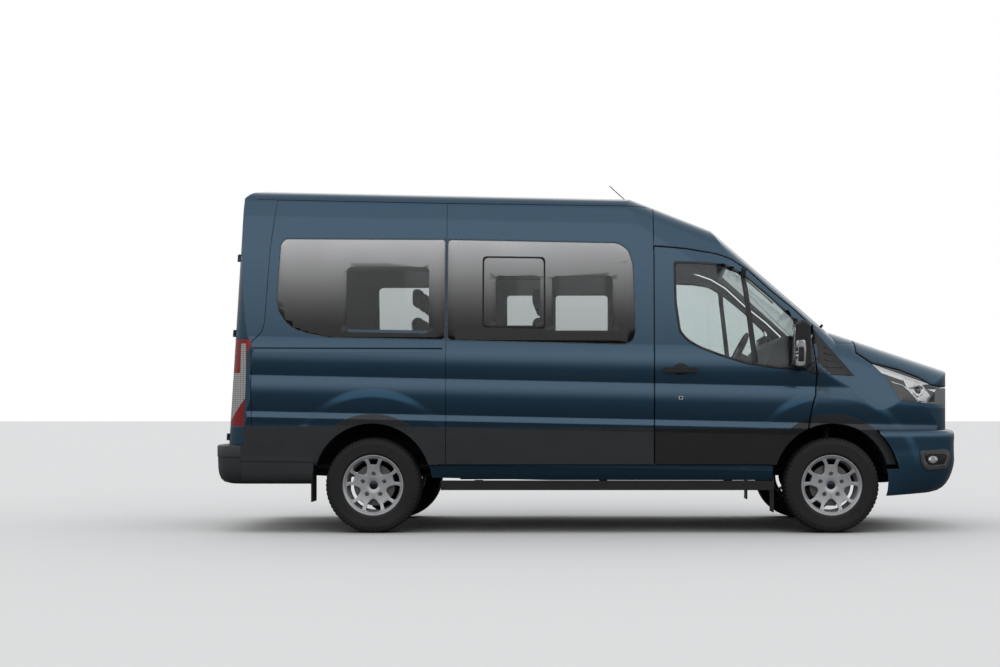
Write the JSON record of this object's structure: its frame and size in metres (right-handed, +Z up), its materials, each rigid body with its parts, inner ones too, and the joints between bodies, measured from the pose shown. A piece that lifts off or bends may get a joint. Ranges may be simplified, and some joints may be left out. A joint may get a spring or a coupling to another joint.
{
  "type": "minibus with a medium roof",
  "caption": "Passenger minibus with a medium roof, hinged cab and twin rear doors, a side door, bonnet, steering front wheels and turning road wheels.",
  "frame": {"origin": "on the ground under the middle of the vehicle's length and width", "axes": "+X forwards, +Y to the left, +Z up"},
  "size_m": [5.5314, 2.47, 2.6387],
  "materials": {
    "paint": "metallic clear coat",
    "cladding": "grained",
    "black_trim": "satin",
    "clear_glass": "polished",
    "tinted_glass": "polished",
    "lamp_clear": "polished",
    "lamp_red": "polished",
    "tyre": "matte",
    "alloy": "satin lacquered",
    "chassis": "painted black",
    "steel": "bare",
    "interior_plastic": "grained",
    "seat_fabric": "woven",
    "floor_cover": "ribbed",
    "undercoat": "matt"
  },
  "bodies": {
    "body": {"aerial": "black_trim", "cab_frame": "paint", "cab_seats": "seat_fabric", "chassis_frame": "chassis", "dashboard": "interior_plastic", "door_frames": "paint", "engine_block": "chassis", "floor_pan": "floor_cover", "front_bumper": "paint", "front_subframe": "chassis", "front_wings": "paint", "grille": "cladding", "headlamps": "lamp_clear", "passenger_seats": "seat_fabric", "rear_axle": "chassis", "rear_bumper": "cladding", "rear_frame": "paint", "roof_panel": "paint", "seat_frames": "interior_plastic", "side_cladding": "cladding", "side_glass": "tinted_glass", "side_panel_left": "paint", "side_panel_right": "paint", "sills": "paint", "sliding_door": "paint", "steps_and_flaps": "black_trim", "tail_lamps": "lamp_red", "tank_and_exhaust": "steel", "wheel_housings": "undercoat", "windscreen": "clear_glass", "wipers": "black_trim"},
    "bonnet": {"bonnet": "paint"},
    "front_door_left": {"front_door_left": "paint", "front_door_glass_left": "clear_glass", "front_door_trim_left": "black_trim"},
    "front_door_right": {"front_door_right": "paint", "front_door_glass_right": "clear_glass", "front_door_trim_right": "black_trim"},
    "rear_door_left": {"rear_door_left": "paint", "rear_door_glass_left": "tinted_glass"},
    "rear_door_right": {"rear_door_right": "paint", "rear_door_glass_right": "tinted_glass"},
    "knuckle_left": {"knuckle_left": "steel"},
    "knuckle_right": {"knuckle_right": "steel"},
    "steering_wheel": {"steering_wheel": "interior_plastic"},
    "wheel_front_left": {"wheel_front_left": "alloy", "tyre_front_left": "tyre"},
    "wheel_front_right": {"wheel_front_right": "alloy", "tyre_front_right": "tyre"},
    "wheel_rear_left": {"wheel_rear_left": "alloy", "tyre_rear_left": "tyre"},
    "wheel_rear_right": {"wheel_rear_right": "alloy", "tyre_rear_right": "tyre"}
  },
  "joints": [
    {"name": "steer_left", "type": "hinge", "parent": "body", "child": "knuckle_left", "pos_m": [1.7425, 0.77, 0.343], "axis": [0, 0, 1], "range_deg": [-35, 35]},
    {"name": "steer_right", "type": "hinge", "parent": "body", "child": "knuckle_right", "pos_m": [1.7425, -0.77, 0.343], "axis": [0, 0, 1], "range_deg": [-35, 35]},
    {"name": "steering_column", "type": "hinge", "parent": "body", "child": "steering_wheel", "pos_m": [1.19, 0.43, 1.34], "axis": [-0.891, 0, 0.454], "range_deg": [-545, 545]},
    {"name": "bonnet_hinge", "type": "hinge", "parent": "body", "child": "bonnet", "pos_m": [1.905, 0, 1.386], "axis": [0, -1, 0], "range_deg": [0, 55]},
    {"name": "front_door_left_hinge", "type": "hinge", "parent": "body", "child": "front_door_left", "pos_m": [1.662, 0.963, 1.13], "axis": [0, 0.061, -0.9981], "range_deg": [0, 64]},
    {"name": "rear_door_left_hinge", "type": "hinge", "parent": "body", "child": "rear_door_left", "pos_m": [-2.58243, 0.843, 1.40098], "axis": [-0.061, 0, -0.9981], "range_deg": [0, 180]},
    {"name": "spin_front_left", "type": "hinge", "parent": "knuckle_left", "child": "wheel_front_left", "pos_m": [1.7425, 0.866, 0.343], "axis": [0, 1, 0], "continuous": true},
    {"name": "spin_rear_left", "type": "hinge", "parent": "body", "child": "wheel_rear_left", "pos_m": [-1.5575, 0.866, 0.343], "axis": [0, 1, 0], "continuous": true},
    {"name": "front_door_right_hinge", "type": "hinge", "parent": "body", "child": "front_door_right", "pos_m": [1.662, -0.963, 1.13], "axis": [0, 0.061, 0.9981], "range_deg": [0, 64]},
    {"name": "rear_door_right_hinge", "type": "hinge", "parent": "body", "child": "rear_door_right", "pos_m": [-2.58243, -0.843, 1.40098], "axis": [0.061, 0, 0.9981], "range_deg": [0, 180]},
    {"name": "spin_front_right", "type": "hinge", "parent": "knuckle_right", "child": "wheel_front_right", "pos_m": [1.7425, -0.866, 0.343], "axis": [0, 1, 0], "continuous": true},
    {"name": "spin_rear_right", "type": "hinge", "parent": "body", "child": "wheel_rear_right", "pos_m": [-1.5575, -0.866, 0.343], "axis": [0, 1, 0], "continuous": true}
  ],
  "couplings": [
    {"joint": "steer_right", "follows": "steer_left", "ratio": 1},
    {"joint": "steering_column", "follows": "steer_left", "ratio": 15.429}
  ]
}
